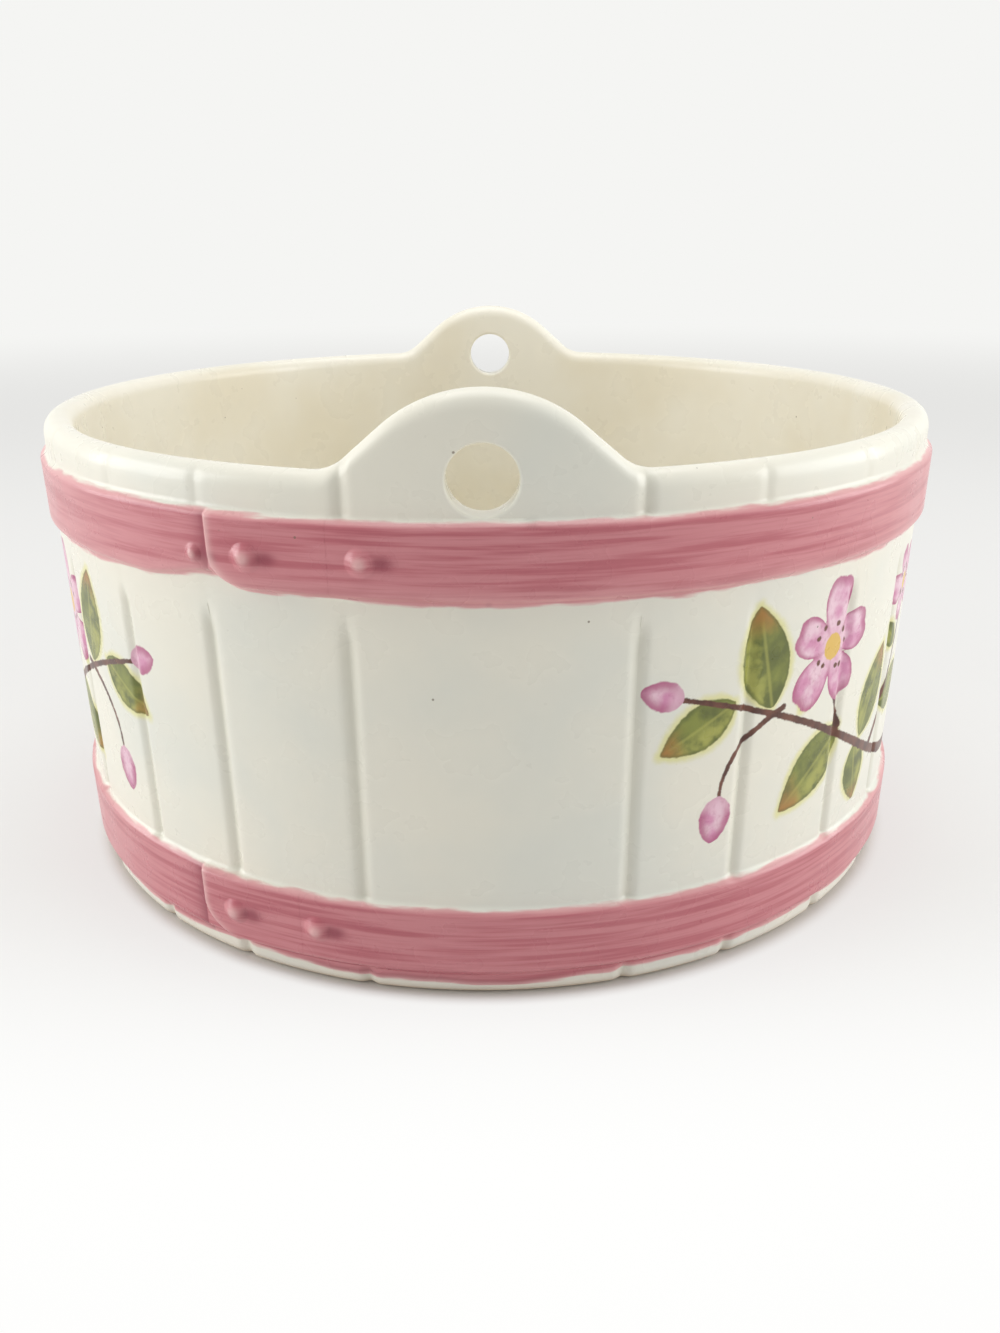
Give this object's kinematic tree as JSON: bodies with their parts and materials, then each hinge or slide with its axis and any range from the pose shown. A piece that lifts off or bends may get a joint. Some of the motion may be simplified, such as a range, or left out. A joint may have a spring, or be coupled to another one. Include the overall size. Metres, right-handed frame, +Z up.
{
  "type": "hanging wall vase",
  "caption": "Round glazed pot moulded like a coopered tub, with two hoops and two opposite bell-shaped ears pierced for hanging.",
  "frame": {"origin": "middle of the base, on the surface that the pot stands on", "axes": "+Z up; the front ear is at -Y, the back ear at +Y, and +X is to the right of someone facing the front ear"},
  "size_m": [0.1984, 0.1984, 0.1115],
  "materials": {
    "cream_glaze": "clear gloss glaze over cream slip, with fine specks",
    "pink_glaze": "brushed rose underglaze under clear gloss glaze",
    "bare_clay": "wiped dry earthenware, matt"
  },
  "bodies": {
    "root": {"back_ear_stave": "cream_glaze", "foot_ring": "bare_clay", "front_ear_stave": "cream_glaze", "left_stave_01": "cream_glaze", "left_stave_02": "cream_glaze", "left_stave_03": "cream_glaze", "left_stave_04": "cream_glaze", "left_stave_05": "cream_glaze", "left_stave_06": "cream_glaze", "left_stave_07": "cream_glaze", "left_stave_08": "cream_glaze", "left_stave_09": "cream_glaze", "left_stave_10": "cream_glaze", "lower_hoop": "pink_glaze", "lower_hoop_lap": "pink_glaze", "lower_hoop_rivets": "pink_glaze", "right_stave_01": "cream_glaze", "right_stave_02": "cream_glaze", "right_stave_03": "cream_glaze", "right_stave_04": "cream_glaze", "right_stave_05": "cream_glaze", "right_stave_06": "cream_glaze", "right_stave_07": "cream_glaze", "right_stave_08": "cream_glaze", "right_stave_09": "cream_glaze", "right_stave_10": "cream_glaze", "tub_floor": "cream_glaze", "upper_hoop": "pink_glaze", "upper_hoop_lap": "pink_glaze", "upper_hoop_rivets": "pink_glaze"}
  },
  "joints": []
}
